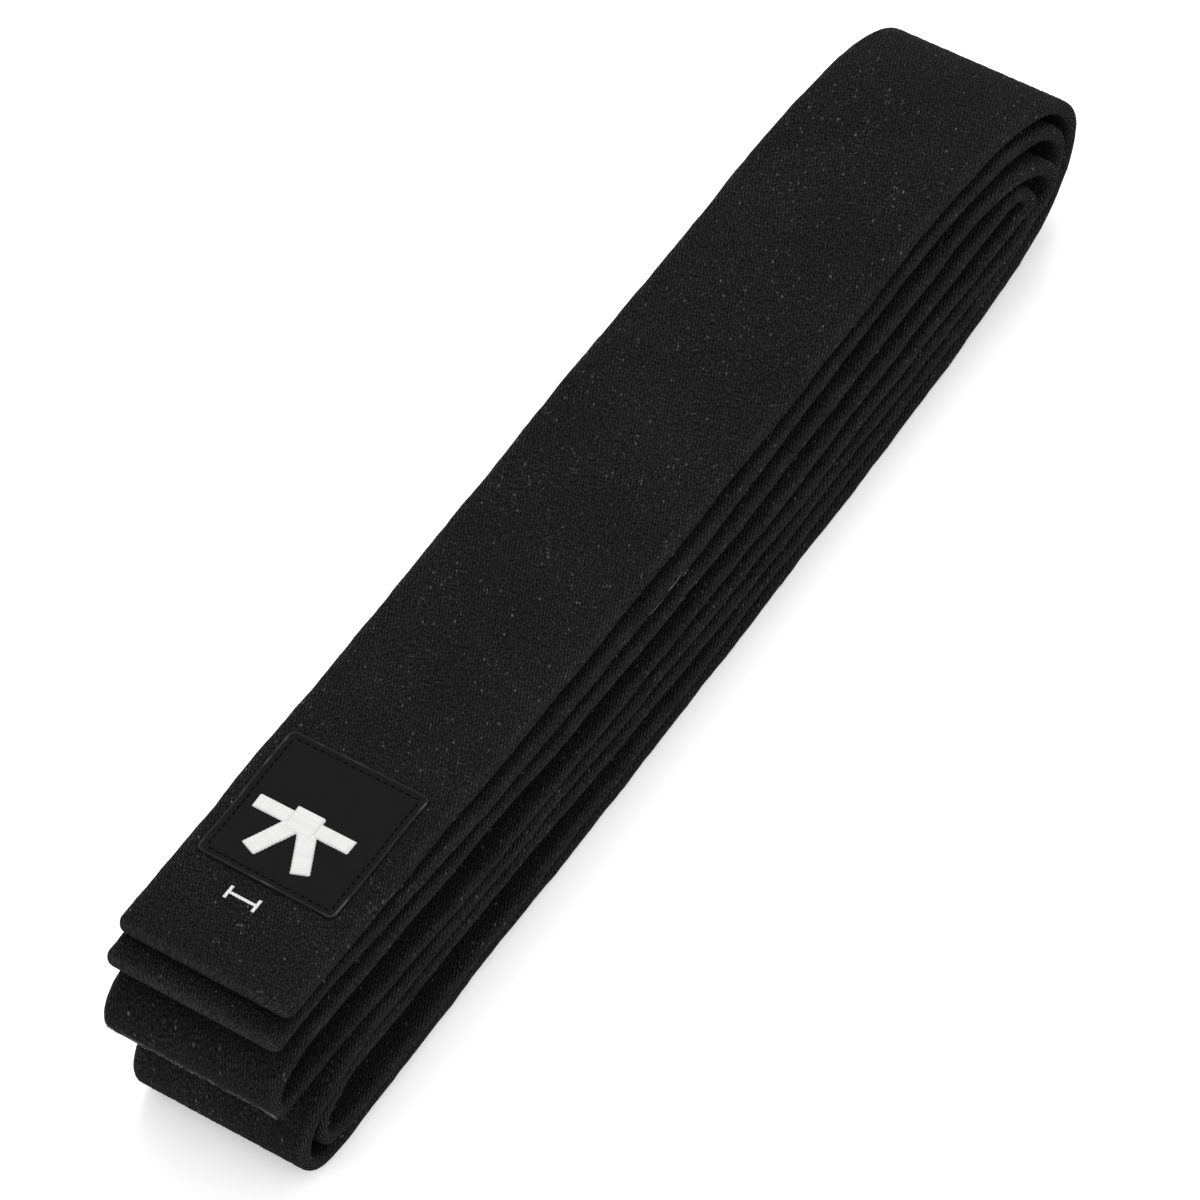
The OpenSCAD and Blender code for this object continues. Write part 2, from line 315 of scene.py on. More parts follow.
def tube_faces(rings, n, start=0):
    i, j = np.meshgrid(np.arange(rings - 1), np.arange(n), indexing="ij")
    i, j = i.ravel(), j.ravel()
    k = (j + 1) % n
    quads = np.stack([i * n + j, (i + 1) * n + j, (i + 1) * n + k, i * n + k], 1) + start
    first = np.arange(n)[None, :] + start
    final = (rings - 1) * n + np.arange(n)[::-1][None, :] + start
    return quads, first, final


def tube_uv(u, v):
    """Corner UVs of a tube and its two caps: u has one value more than a ring has points."""
    n, rings = len(u) - 1, len(v)
    i, j = np.meshgrid(np.arange(rings - 1), np.arange(n), indexing="ij")
    i, j = i.ravel(), j.ravel()
    corners = [(i, j), (i + 1, j), (i + 1, j + 1), (i, j + 1)]
    quads = np.stack([np.stack([u[b], v[a]], 1) for a, b in corners], 1).reshape(-1, 2)
    cap = np.stack([u[:-1], np.full(n, v[0])], 1)
    end = np.stack([u[:-1][::-1], np.full(n, v[-1])], 1)
    return np.vstack([quads, cap, end])


def closed_grid(nx, ny, start=0):
    """Faces of a sheet with a top and an underside, each nx by ny points, joined round its rim."""
    i, j = np.meshgrid(np.arange(nx - 1), np.arange(ny - 1), indexing="ij")
    i, j = i.ravel(), j.ravel()
    count = nx * ny
    last = (nx - 1) * ny
    quads = np.stack([i * ny + j, (i + 1) * ny + j, (i + 1) * ny + j + 1, i * ny + j + 1], 1) + start
    rim = start + np.concatenate([
        np.arange(0, last, ny), last + np.arange(0, ny - 1),
        np.arange(last + ny - 1, ny - 1, -ny), np.arange(ny - 1, 0, -1),
    ])
    after = np.roll(rim, -1)
    return quads, quads[:, ::-1] + count, np.stack([rim, rim + count, after + count, after], 1)


def grid(nx, ny):
    return np.meshgrid(np.linspace(-1, 1, nx), np.linspace(-1, 1, ny), indexing="ij")


class Sheets:
    """Closed sheets gathered into one object."""

    def __init__(self):
        self.points, self.faces, self.uvs = [], [], []
        self.count = 0

    def add(self, top, low, u, v):
        parts = closed_grid(*u.shape, self.count)
        flat = np.stack([u.ravel(), v.ravel()], 1) * MM
        both = np.vstack([flat, flat])
        for part in parts:
            self.faces.append(part)
            self.uvs.append(both[part - self.count].reshape(-1, 2))
        self.points.append(np.vstack([top.reshape(-1, 3), low.reshape(-1, 3)]))
        self.count += len(both)

    def finish(self, name, material):
        return build(name, np.vstack(self.points), self.faces, material, np.vstack(self.uvs))


class Gathered:
    """Many small closed tubes gathered into one object."""

    def __init__(self):
        self.points, self.quads, self.caps, self.uv, self.cap_uv = [], [], {}, [], {}
        self.count = 0

    def tube(self, rings, u, v):
        rings = np.asarray(rings)
        n = rings.shape[1]
        quads, first, final = tube_faces(len(rings), n, self.count)
        uv = tube_uv(np.asarray(u, float), np.asarray(v, float))
        self.quads.append(quads)
        self.uv.append(uv[: len(quads) * 4])
        self.caps.setdefault(n, []).extend([first, final])
        self.cap_uv.setdefault(n, []).append(uv[len(quads) * 4 :])
        self.points.append(rings.reshape(-1, 3))
        self.count += rings.shape[0] * n

    def finish(self, name, material, smooth=True):
        polygons = [np.vstack(self.quads)]
        uv = [np.vstack(self.uv)]
        for n, caps in self.caps.items():
            polygons.append(np.vstack(caps))
            uv.append(np.vstack(self.cap_uv[n]))
        return build(name, np.vstack(self.points), polygons, material, np.vstack(uv), smooth)


# ---- materials ----


class Nodes:
    """Short names for building a material's nodes."""

    def __init__(self, name, roughness, specular=0.25):
        self.material = bpy.data.materials.new(name)
        self.material.use_nodes = True
        self.tree = self.material.node_tree
        self.tree.nodes.clear()
        out = self.tree.nodes.new("ShaderNodeOutputMaterial")
        self.shader = self.tree.nodes.new("ShaderNodeBsdfPrincipled")
        self.shader.inputs["Roughness"].default_value = roughness
        self.shader.inputs["Specular IOR Level"].default_value = specular
        self.link(self.shader.outputs[0], out.inputs[0])

    def link(self, a, b):
        self.tree.links.new(a, b)

    def feed(self, socket, value):
        if hasattr(value, "is_output"):
            self.link(value, socket)
        else:
            socket.default_value = value

    def math(self, kind, a, b=0.0, c=0.0, clamp=False):
        node = self.tree.nodes.new("ShaderNodeMath")
        node.operation = kind
        node.use_clamp = clamp
        for socket, value in zip(node.inputs, (a, b, c)):
            self.feed(socket, value)
        return node.outputs[0]

    def uv(self):
        node = self.tree.nodes.new("ShaderNodeUVMap")
        node.uv_map = "cloth"
        split = self.tree.nodes.new("ShaderNodeSeparateXYZ")
        self.link(node.outputs[0], split.inputs[0])
        return split.outputs[0], split.outputs[1]

    def vector(self, x, y, z=0.0):
        node = self.tree.nodes.new("ShaderNodeCombineXYZ")
        for socket, value in zip(node.inputs, (x, y, z)):
            self.feed(socket, value)
        return node.outputs[0]

    def noise(self, vector, scale, detail=2.0, roughness=0.5):
        node = self.tree.nodes.new("ShaderNodeTexNoise")
        self.link(vector, node.inputs["Vector"])
        node.inputs["Scale"].default_value = scale
        node.inputs["Detail"].default_value = detail
        node.inputs["Roughness"].default_value = roughness
        return node.outputs[0]

    def white(self, value):
        node = self.tree.nodes.new("ShaderNodeTexWhiteNoise")
        node.noise_dimensions = "1D"
        self.feed(node.inputs["W"], value)
        return node.outputs[0]

    def cells(self, vector, scale):
        node = self.tree.nodes.new("ShaderNodeTexVoronoi")
        self.link(vector, node.inputs["Vector"])
        node.inputs["Scale"].default_value = scale
        return node.outputs["Distance"], node.outputs["Color"]

    def span(self, value, low, high):
        node = self.tree.nodes.new("ShaderNodeMapRange")
        node.interpolation_type = "SMOOTHSTEP"
        for socket, v in zip(node.inputs, (value, low, high)):
            self.feed(socket, v)
        return node.outputs[0]

    def mix(self, factor, a, b):
        node = self.tree.nodes.new("ShaderNodeMix")
        node.data_type = "RGBA"
        self.feed(node.inputs[0], factor)
        self.feed(node.inputs[6], a)
        self.feed(node.inputs[7], b)
        return node.outputs[2]

    def mask(self, name):
        node = self.tree.nodes.new("ShaderNodeAttribute")
        node.attribute_name = name
        return node.outputs["Fac"]

    def colour(self, value):
        self.feed(self.shader.inputs["Base Color"], value)

    def rough(self, value):
        self.feed(self.shader.inputs["Roughness"], value)

    def bump(self, height, depth, strength=1.0):
        node = self.tree.nodes.new("ShaderNodeBump")
        node.inputs["Strength"].default_value = strength
        node.inputs["Distance"].default_value = depth
        self.link(height, node.inputs["Height"])
        self.link(node.outputs[0], self.shader.inputs["Normal"])


def grey(value, warm=0.0):
    return (value * (1 + warm), value, value * (1 - warm), 1.0)


TWILL_ANGLE = math.radians(25)
TWILL_PITCH = 0.8 * MM
THREAD_TWIST = 0.55 * MM


def twill_cloth():
    """Black cotton twill: steep ribs built from short floats, pale slubs and fibre ends, worn folds, and
    painted light on the strap's edges.
    """
    m = Nodes("black_cotton_twill", 0.95, specular=0.03)
    u, v = m.uv()
    c, s = math.cos(TWILL_ANGLE), math.sin(TWILL_ANGLE)
    spot = m.vector(u, v)
    wander = m.math("MULTIPLY", m.math("SUBTRACT", m.noise(spot, 60, 3), 0.5), 0.9 * TWILL_PITCH)
    across = m.math("ADD", m.math("ADD", m.math("MULTIPLY", u, c), m.math("MULTIPLY", v, s)), wander)
    along = m.math("SUBTRACT", m.math("MULTIPLY", v, c), m.math("MULTIPLY", u, s))
    rib_no = m.math("DIVIDE", across, TWILL_PITCH)
    rib = m.span(m.math("PINGPONG", rib_no, 0.5), 0.04, 0.46)
    # each rib is a chain of short floats, with its own phase
    phase = m.white(m.math("FLOOR", rib_no))
    beat = m.math("ADD", m.math("DIVIDE", along, 1.25 * MM), phase)
    float_shape = m.span(m.math("PINGPONG", beat, 0.5), 0.02, 0.3)
    # on the strap's edges the ribs are deeper, which is the cloth's own relief, and the colour is lighter
    # on average, which is painted light on the strap's sides
    plain = m.math("SUBTRACT", 1.0, m.mask("ribs_and_side_light"))
    depth = m.math("MULTIPLY_ADD", plain, -0.95, 1.45)
    rib = m.math("MULTIPLY_ADD", rib, depth, m.math("MULTIPLY", plain, 0.18))
    height = m.math("MULTIPLY", rib, m.math("MULTIPLY_ADD", float_shape, 0.6, 0.4))
    fine = m.noise(spot, 3600, 3, 0.7)
    height = m.math("ADD", height, m.math("MULTIPLY", fine, 0.3))
    m.bump(height, 0.2 * MM)

    stretched = m.vector(across, m.math("MULTIPLY", along, 0.6))
    tone = m.span(m.noise(stretched, 1700, 3, 0.75), 0.38, 0.62)
    broad = m.span(m.noise(spot, 28, 4, 0.6), 0.3, 0.75)
    mottle = m.span(m.noise(spot, 420, 3, 0.6), 0.3, 0.7)
    shade = m.math("MULTIPLY", height, m.math("MULTIPLY_ADD", tone, 1.15, 0.12))
    shade = m.math("MULTIPLY", shade, m.math("MULTIPLY_ADD", broad, 0.3, 0.75))
    shade = m.math("MULTIPLY", shade, m.math("MULTIPLY_ADD", mottle, 0.16, 0.9))
    base = m.mix(shade, grey(0.0024), grey(0.027))
    # pale slubs and fibre ends, more of them in patches
    patch = m.span(m.noise(spot, 45, 3, 0.65), 0.4, 0.66)
    fleck_space = m.vector(across, m.math("MULTIPLY", along, 0.5))
    distance, cell = m.cells(fleck_space, 1650)
    chosen = m.span(cell, m.math("MULTIPLY_ADD", patch, -0.12, 0.84), 1.0)
    fleck = m.math("MULTIPLY", chosen, m.span(distance, 0.5, 0.2))
    base = m.mix(fleck, base, grey(0.11))
    speck_distance, speck_cell = m.cells(spot, 700)
    speck = m.math("GREATER_THAN", speck_cell, m.math("MULTIPLY_ADD", patch, -0.02, 0.994))
    speck = m.math("MULTIPLY", speck, m.span(speck_distance, 0.11, 0.06))
    base = m.mix(m.math("MULTIPLY", speck, 0.9), base, grey(0.24))
    worn = m.math("MULTIPLY", m.mask("worn"), m.span(m.noise(spot, 1400, 3, 0.7), 0.35, 0.65))
    base = m.mix(m.math("MULTIPLY", worn, 0.9, clamp=True), base, grey(0.16))
    m.colour(base)
    m.rough(m.math("MULTIPLY_ADD", tone, -0.08, 0.98))
    return m.material


def sewing_thread(name, light, specular=0.06):
    """Spun sewing thread: twisted plies, matt."""
    m = Nodes(name, 0.8, specular=specular)
    u, v = m.uv()
    slant = m.math("ADD", v, m.math("MULTIPLY", u, 0.9))
    turn = m.math("PINGPONG", m.math("DIVIDE", slant, THREAD_TWIST), 0.5)
    ply = m.span(turn, 0.05, 0.45)
    fuzz = m.noise(m.vector(u, v), 4200, 2)
    shade = m.math("MULTIPLY_ADD", ply, 0.7, m.math("MULTIPLY", fuzz, 0.3))
    m.colour(m.mix(shade, grey(light * 0.45), grey(light)))
    m.rough(m.math("MULTIPLY_ADD", fuzz, 0.2, 0.65))
    m.bump(shade, 0.06 * MM)
    return m.material


def core_cloth():
    """Unbleached plain weave."""
    m = Nodes("core_cotton", 0.9)
    u, v = m.uv()
    warp = m.span(m.math("PINGPONG", m.math("DIVIDE", u, 0.9 * MM), 0.5), 0.05, 0.45)
    weft = m.span(m.math("PINGPONG", m.math("DIVIDE", v, 1.1 * MM), 0.5), 0.05, 0.45)
    height = m.math("MULTIPLY", m.math("ADD", warp, weft), 0.5)
    blot = m.noise(m.vector(u, v), 90, 3)
    shade = m.math("MULTIPLY_ADD", height, 0.6, m.math("MULTIPLY", blot, 0.4))
    m.colour(m.mix(shade, (0.42, 0.37, 0.28, 1), (0.72, 0.67, 0.56, 1)))
    m.rough(m.math("MULTIPLY_ADD", blot, 0.1, 0.85))
    m.bump(height, 0.1 * MM)
    return m.material


def label_ribbon():
    """Close woven, almost smooth, with a faint cross rib and a little dust."""
    m = Nodes("label_ribbon", 0.7, specular=0.06)
    u, v = m.uv()
    spot = m.vector(u, v)
    rib = m.span(m.math("PINGPONG", m.math("DIVIDE", v, 0.32 * MM), 0.5), 0.05, 0.45)
    warp = m.span(m.math("PINGPONG", m.math("DIVIDE", u, 0.26 * MM), 0.5), 0.05, 0.45)
    cloud = m.span(m.noise(spot, 120, 4, 0.6), 0.3, 0.7)
    weave = m.math("MULTIPLY_ADD", rib, 0.6, m.math("MULTIPLY", warp, 0.4))
    shade = m.math("MULTIPLY_ADD", weave, 0.35, m.math("MULTIPLY", cloud, 0.65))
    base = m.mix(shade, grey(0.0042), grey(0.0072))
    distance, cell = m.cells(spot, 420)
    dust = m.math("MULTIPLY", m.math("GREATER_THAN", cell, 0.985), m.span(distance, 0.12, 0.05))
    m.colour(m.mix(m.math("MULTIPLY", dust, 0.8), base, grey(0.26)))
    m.rough(m.math("MULTIPLY_ADD", cloud, 0.15, 0.65))
    m.bump(weave, 0.03 * MM)
    return m.material


def label_edge():
    """Close oversewn edge: threads across the bead, lighter grey along its crown: rub wear in places and a
    painted highlight all along the top.
    """
    m = Nodes("label_bound_edge", 0.7, specular=0.08)
    u, v = m.uv()
    wrap = m.span(m.math("PINGPONG", m.math("DIVIDE", v, 0.4 * MM), 0.5), 0.05, 0.45)
    rub = m.span(m.noise(m.vector(u, v), 38, 3, 0.75), 0.5, 0.68)
    crown = m.span(m.math("ABSOLUTE", m.math("SUBTRACT", u, 0.00075)), 0.0006, 0.0002)
    tone = m.mix(wrap, grey(0.005), grey(0.014))
    # the bead's crown is painted lighter: a faint painted highlight all along the top, stronger where the
    # rub noise adds wear
    rub_wear_and_crown_highlight = m.math("MULTIPLY", m.math("MULTIPLY_ADD", rub, 0.7, 0.05), crown)
    m.colour(m.mix(rub_wear_and_crown_highlight, tone, grey(0.1)))
    m.rough(m.math("MULTIPLY_ADD", wrap, -0.1, 0.65))
    m.bump(wrap, 0.07 * MM)
    return m.material


def satin_stitch():
    """White embroidery: parallel threads laid side by side, with slight shading between them."""
    m = Nodes("white_satin_stitch", 0.55, specular=0.3)
    u, v = m.uv()
    thread_no = m.math("DIVIDE", u, 0.34 * MM)
    thread = m.span(m.math("PINGPONG", thread_no, 0.5), 0.02, 0.42)
    tint = m.white(m.math("FLOOR", thread_no))
    strand = m.noise(m.vector(m.math("MULTIPLY", u, 6), v), 700, 2)
    uneven = m.math("MULTIPLY_ADD", tint, 0.2, m.math("MULTIPLY", strand, 0.3))
    shade = m.math("MULTIPLY_ADD", thread, 0.55, uneven)
    m.colour(m.mix(shade, grey(0.5, 0.01), grey(0.78)))
    m.rough(m.math("MULTIPLY_ADD", strand, 0.2, 0.4))
    m.bump(thread, 0.05 * MM)
    return m.material


def printed_ink():
    """White print that sits on the ribs and is a little thin between them."""
    m = Nodes("white_print", 0.6, specular=0.3)
    u, v = m.uv()
    spot = m.vector(u, v)
    c, s = math.cos(TWILL_ANGLE), math.sin(TWILL_ANGLE)
    across = m.math("ADD", m.math("MULTIPLY", u, c), m.math("MULTIPLY", v, s))
    rib = m.span(m.math("PINGPONG", m.math("DIVIDE", across, TWILL_PITCH), 0.5), 0.04, 0.3)
    grain = m.noise(spot, 2600, 3, 0.6)
    shade = m.math("MULTIPLY_ADD", rib, 0.4, m.math("MULTIPLY", grain, 0.8))
    m.colour(m.mix(m.span(shade, 0.2, 0.7), grey(0.34), grey(0.7)))
    m.rough(m.math("MULTIPLY_ADD", grain, 0.2, 0.5))
    m.bump(shade, 0.05 * MM)
    return m.material


def lint_fibre():
    m = Nodes("pale_lint", 0.9, specular=0.05)
    u, v = m.uv()
    tone = m.noise(m.vector(u, v), 900, 2)
    m.colour(m.mix(m.span(tone, 0.3, 0.7), grey(0.08), grey(0.3)))
    m.rough(m.math("MULTIPLY_ADD", tone, 0.2, 0.7))
    return m.material


# ---- the cover ----


def cover_section():
    """Points round the strap: (x, share of the flat height, +1 on the outer face or -1 on the inner)."""
    per_pitch = 4
    xs = [ROW_X[0] + i * ROW_PITCH / per_pitch for i in range((ROW_COUNT - 1) * per_pitch + 1)]
    inner_edge = STRAP_W / 2 - EDGE_R
    arc = [math.pi / 2 * i / 7 for i in range(1, 8)]
    right = [(inner_edge + EDGE_R * math.sin(t) ** 0.85, math.cos(t) ** 0.75) for t in arc[:-1]]
    top = [(x, 1.0, 1) for x in xs if abs(x) <= inner_edge] + [(x, h, 1) for x, h in right]
    tip = [(STRAP_W / 2, 0.0, 1)]
    bottom = [(x, h, -1) for x, h, _ in top[::-1]]
    left = [(-x, h) for x, h in right]
    over = [(x, h, 1) for x, h in left[::-1]] + top + tip + bottom
    under = [(x, h, -1) for x, h in left] + [(-STRAP_W / 2, 0.0, -1)]
    return over + under


CROSS_ROWS = (5.5, 7.7)
CORNER_R = 2.8
END_R = 2.2


def pillow(x):
    """0 in the groove of a stitched row, 1 midway between two rows."""
    inside = np.clip(np.abs(np.sin(np.pi * (x - ROW_X[0]) / ROW_PITCH)), 0, 1) ** 0.8
    return np.where(np.abs(x) < STRAP_W / 2 - ROW_MARGIN + 0.01, inside, 0.7)


def surface_h(s, x, share=1.0):
    """Half thickness of the cloth at a place on the strap."""
    room = np.minimum(s, LENGTH - s)
    h = HALF + PILLOW * pillow(x) * (0.8 + 0.35 * ripple(s + 3.1 * x, 23, 11))
    h = h * np.sqrt(np.clip(1 - (1 - np.clip(room / END_R, 0, 1)) ** 2, 0, 1)) ** 0.8
    for row in CROSS_ROWS:
        h = h - 0.1 * np.exp(-(((room - row) / 0.5) ** 2))
    return np.maximum(h, 0.02) * share


def make_cover(material):
    section = cover_section()
    x = np.array([p[0] for p in section])
    share = np.array([p[1] for p in section])
    side = np.array([p[2] for p in section])
    s = ring_places()
    room = np.minimum(s, LENGTH - s)
    # the corners of the free ends are rounded
    inset = CORNER_R * (1 - np.sqrt(np.clip(1 - (1 - np.clip(room / CORNER_R, 0, 1)) ** 2, 0, 1)))
    wave = 1 + 0.006 * ripple(s, 41, 8) + 0.003 * ripple(s, 9, 9)
    xs = x[None, :] * (wave * (1 - inset / (STRAP_W / 2)))[:, None]
    h = surface_h(s[:, None], x[None, :], share[None, :]) * side[None, :]
    rings = world(s[:, None], xs, h)
    around = np.concatenate([[0], np.cumsum(np.hypot(np.diff(x), np.diff(share * side * HALF)))])
    around = np.append(around, around[-1] + abs(share[0] * HALF)) * MM
    quads, first, final = tube_faces(len(s), len(x))
    uv = tube_uv(around, s * MM)
    # worn along the outside of the crease between the third and fourth runs
    crease_at = np.argmin(np.linalg.norm(CURVE - np.array(CREASE[2]), axis=1))
    crease_s = CURVE_S[crease_at]
    frayed = np.exp(-(((s - crease_s) / 0.9) ** 2))[:, None] * (side > 0) * (np.abs(x) < 25.1)
    frayed = frayed * np.clip(0.26 + 0.45 * ripple(x * 1.0, 13, 4), 0.08, 0.6)[None, :]
    tips = 0.1 * np.exp(-(((np.abs(x) - STRAP_W / 2 + 0.9) / 0.8) ** 2))[None, :]
    tips = tips * (0.5 + 0.5 * ripple(s, 37, 14)[:, None])
    ends = 0.12 * np.exp(-((room / 1.2) ** 2))[:, None]
    worn = np.clip(frayed + tips + ends, 0, 1)
    # the ribs stand out at the strap's edges and fade under the pressed faces; the same mask paints the
    # edges lighter on average, which is painted light on the strap's sides
    ribs_and_side_light = np.clip((np.abs(x) - STRAP_W / 2 + 3) / 2, 0, 1)[None, :] + 0 * worn
    points = rings.reshape(-1, 3)
    masks = {"worn": worn, "ribs_and_side_light": ribs_and_side_light}
    cover = build("cover_cloth", points, [quads, first, final], material, uv, masks=masks)
    return cover, crease_s


# ---- rows of stitches ----


def make_rows(material):
    """Each row is a chain of raised stitches on both faces that dips into the cloth at every hole."""
    pieces = []
    start = 4.0
    for k, x in enumerate(ROW_X):
        gathered = Gathered()
        for side in (1, -1):
            count = int((LENGTH - 2 * start) / STITCH)
            shift = rng.uniform(0, STITCH)
            holes = start + shift + np.arange(count) * STITCH
            places = np.sort(np.concatenate([holes, holes + 0.25 * STITCH, holes + 0.75 * STITCH]))
            places = places[places < LENGTH - start]
            raised = (np.arange(len(places)) % 3 != 0).astype(float)
            top = HALF - 0.22 + 0.4 * raised + 0.03 * ripple(places, 19, 40 + k)
            foot = HALF - 0.3
            wander = 0.12 * ripple(places, 71, 60 + k)
            half_w = THREAD_W / 2
            xs = x + wander[:, None] + np.array([-half_w, 0, half_w])[None, :] * side
            hs = np.stack([np.full_like(top, foot), top, np.full_like(top, foot)], 1) * side
            rings = world(places[:, None], xs, hs)
            gathered.tube(rings, np.array([0, 0.4, 0.8, 1.2]) * MM, places * MM)
        node = f"stitch_row_{k + 1:02d}"
        piece = gathered.finish(node + "_thread", material)
        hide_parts(node)
        pieces.append(piece)
    return pieces


def lozenge(gathered, s, x, h, ds, dx, length, width, height, side=1):
    """One short stitch lying on the strap, its long axis along (ds, dx)."""
    along = np.array([-0.5, -0.32, 0, 0.32, 0.5]) * length
    lift = np.array([-0.25, 0.5, 1.0, 0.5, -0.25])
    wide = np.array([0.35, 0.85, 1.0, 0.85, 0.35]) * width / 2
    turns = np.arange(6) / 6 * 2 * math.pi
    a = along[:, None]
    w = wide[:, None] * np.cos(turns)[None, :]
    z = (lift * height)[:, None] + 0.5 * height * (wide * 2 / width)[:, None] * np.sin(turns)[None, :]
    rings = world(s + a * ds - w * dx * side, x + a * dx + w * ds * side, (h + z) * side)
    gathered.tube(rings, np.linspace(0, width * 3, 7) * MM, along * MM)


def make_end_stitches(name, node, from_end, material):
    gathered = Gathered()
    pitch = 2.9
    count = int((STRAP_W - 2 * ROW_MARGIN) / pitch)
    for side in (1, -1):
        for row in CROSS_ROWS:
            s = row if from_end == 0 else LENGTH - row
            for i in range(count):
                x = (i - (count - 1) / 2) * pitch + rng.uniform(-0.12, 0.12)
                lozenge(gathered, s, x, HALF - 0.28, rng.uniform(-0.04, 0.04), 1, 2.5, 0.6, 0.3, side)
    piece = gathered.finish(name, material)
    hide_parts(node)
    return piece


# ---- the core ----


def make_plies(material):
    room = BODY_T - 2 * COVER_WALL
    gap = 0.05
    thick = (room - 4 * gap) / 3
    half_w = STRAP_W / 2 - COVER_WALL - 1.5
    s = np.linspace(4, LENGTH - 4, 1100)
    pieces = []
    for k, name in enumerate(("upper", "middle", "lower")):
        mid = room / 2 - gap - thick / 2 - k * (thick + gap)
        upper_x = np.array([-half_w, -half_w / 3, half_w / 3, half_w])
        x = np.concatenate([upper_x, upper_x[::-1]])
        h = mid + np.array([1, 1, 1, 1, -1, -1, -1, -1]) * thick / 2
        rings = world(s[:, None], x[None, :], h[None, :])
        gathered = Gathered()
        gathered.tube(rings, np.append(x, x[0]) * MM, s * MM)
        piece = gathered.finish(f"core_ply_{name}_cloth", material, smooth=False)
        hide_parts(f"core_ply_{name}")
        pieces.append(piece)
    return pieces


# ---- the label ----


def label_world(x, y, h):
    """A place on the label: x across from its middle, y along from its middle, h over the cloth."""
    return world(LABEL_S + np.asarray(y, float), LABEL_X + np.asarray(x, float), LABEL_LIFT + h)


def rounded_outline(w, l, r, per_corner=8):
    """Corner points of a rounded rectangle, anticlockwise, with straight sides split finely."""
    a, b = w / 2 - r, l / 2 - r
    points = []
    for cx, cy, turn in ((a, b, 0), (-a, b, 90), (-a, -b, 180), (a, -b, 270)):
        for i in range(per_corner + 1):
            t = math.radians(turn + 90 * i / per_corner)
            points.append((cx + r * math.cos(t), cy + r * math.sin(t)))
    out = []
    for a, b in zip(points, points[1:] + points[:1]):
        n = max(1, int(math.dist(a, b) / 0.8))
        out += [(a[0] + (b[0] - a[0]) * i / n, a[1] + (b[1] - a[1]) * i / n) for i in range(n)]
    return np.array(out)


STITCH_INSET = 2.0
LABEL_ROUND = 2.0


def label_groove(x, y):
    """How deep the label is drawn down along its line of stitches."""
    dx = np.abs(x) - (LABEL_W / 2 - STITCH_INSET)
    dy = np.abs(y) - (LABEL_L / 2 - STITCH_INSET)
    outside = np.maximum(dx, dy)
    return 0.26 * np.exp(-((outside / 0.42) ** 2))


def make_patch(material):
    """The label's ribbon: a fine sheet, drawn down along its stitches, with a thin closed edge."""
    w, l = LABEL_W - 2 * BORDER_W + 0.3, LABEL_L - 2 * BORDER_W + 0.3
    gx, gy = grid(110, 124)
    # pull the square's corners in to the label's rounded corners
    r = LABEL_ROUND - BORDER_W
    x, y = gx * w / 2, gy * l / 2
    ox, oy = np.abs(x) - (w / 2 - r), np.abs(y) - (l / 2 - r)
    corner = (ox > 0) & (oy > 0)
    reach = np.where(corner, np.hypot(ox, oy), 1)
    limit = np.where(corner, np.maximum(ox, oy), 1)
    pull = np.where(corner, limit / np.maximum(reach, 1e-6), 1)
    x = np.where(corner, np.sign(x) * (w / 2 - r + ox * pull), x)
    y = np.where(corner, np.sign(y) * (l / 2 - r + oy * pull), y)
    crown = 0.05 * ripple(x * 1.3 + y * 0.4, 17, 21) + 0.04 * ripple(y - 0.5 * x, 11, 22)
    h = 0.42 - label_groove(x, y) + crown * 0.6
    sheets = Sheets()
    sheets.add(label_world(x, y, h), label_world(x, y, np.full_like(x, -0.18)), x, y)
    piece = sheets.finish("label_patch_ribbon", material)
    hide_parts("label_patch")
    return piece


def make_border(material):
    """A bead of thread sewn over the label's edge."""
    line = rounded_outline(LABEL_W - BORDER_W, LABEL_L - BORDER_W, LABEL_ROUND - BORDER_W / 2)
    line = np.vstack([line, line[:1]])
    step = unit(np.roll(line[:-1], -1, 0) - np.roll(line[:-1], 1, 0))
    step = np.vstack([step, step[:1]])
    out = np.stack([step[:, 1], -step[:, 0]], 1)
    run_s = np.concatenate([[0], np.cumsum(np.linalg.norm(np.diff(line, axis=0), axis=1))])
    turns = np.arange(10) / 10 * 2 * math.pi
    size = 1 + 0.08 * np.sin(run_s / run_s[-1] * 2 * math.pi * 47)[:, None]
    w = BORDER_W / 2 * 1.05 * np.cos(turns)[None, :] * size
    h = 0.16 + 0.36 * np.sin(turns)[None, :] * size
    x = line[:, 0:1] + out[:, 0:1] * w
    y = line[:, 1:2] + out[:, 1:2] * w
    rings = label_world(x, y, h)[:-1]
    n, count = len(turns), len(rings)
    i, j = np.meshgrid(np.arange(count), np.arange(n), indexing="ij")
    i, j = i.ravel(), j.ravel()
    nxt, k = (i + 1) % count, (j + 1) % n
    quads = np.stack([i * n + j, i * n + k, nxt * n + k, nxt * n + j], 1)
    u = np.arange(n + 1) * 0.3 * MM
    v = run_s * MM
    uv = np.stack([
        np.stack([u[j], v[i]], 1), np.stack([u[j + 1], v[i]], 1),
        np.stack([u[j + 1], v[i + 1]], 1), np.stack([u[j], v[i + 1]], 1),
    ], 1).reshape(-1, 2)
    piece = build("label_border_bead", rings.reshape(-1, 3), [quads], material, uv)
    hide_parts("label_border")
    return piece


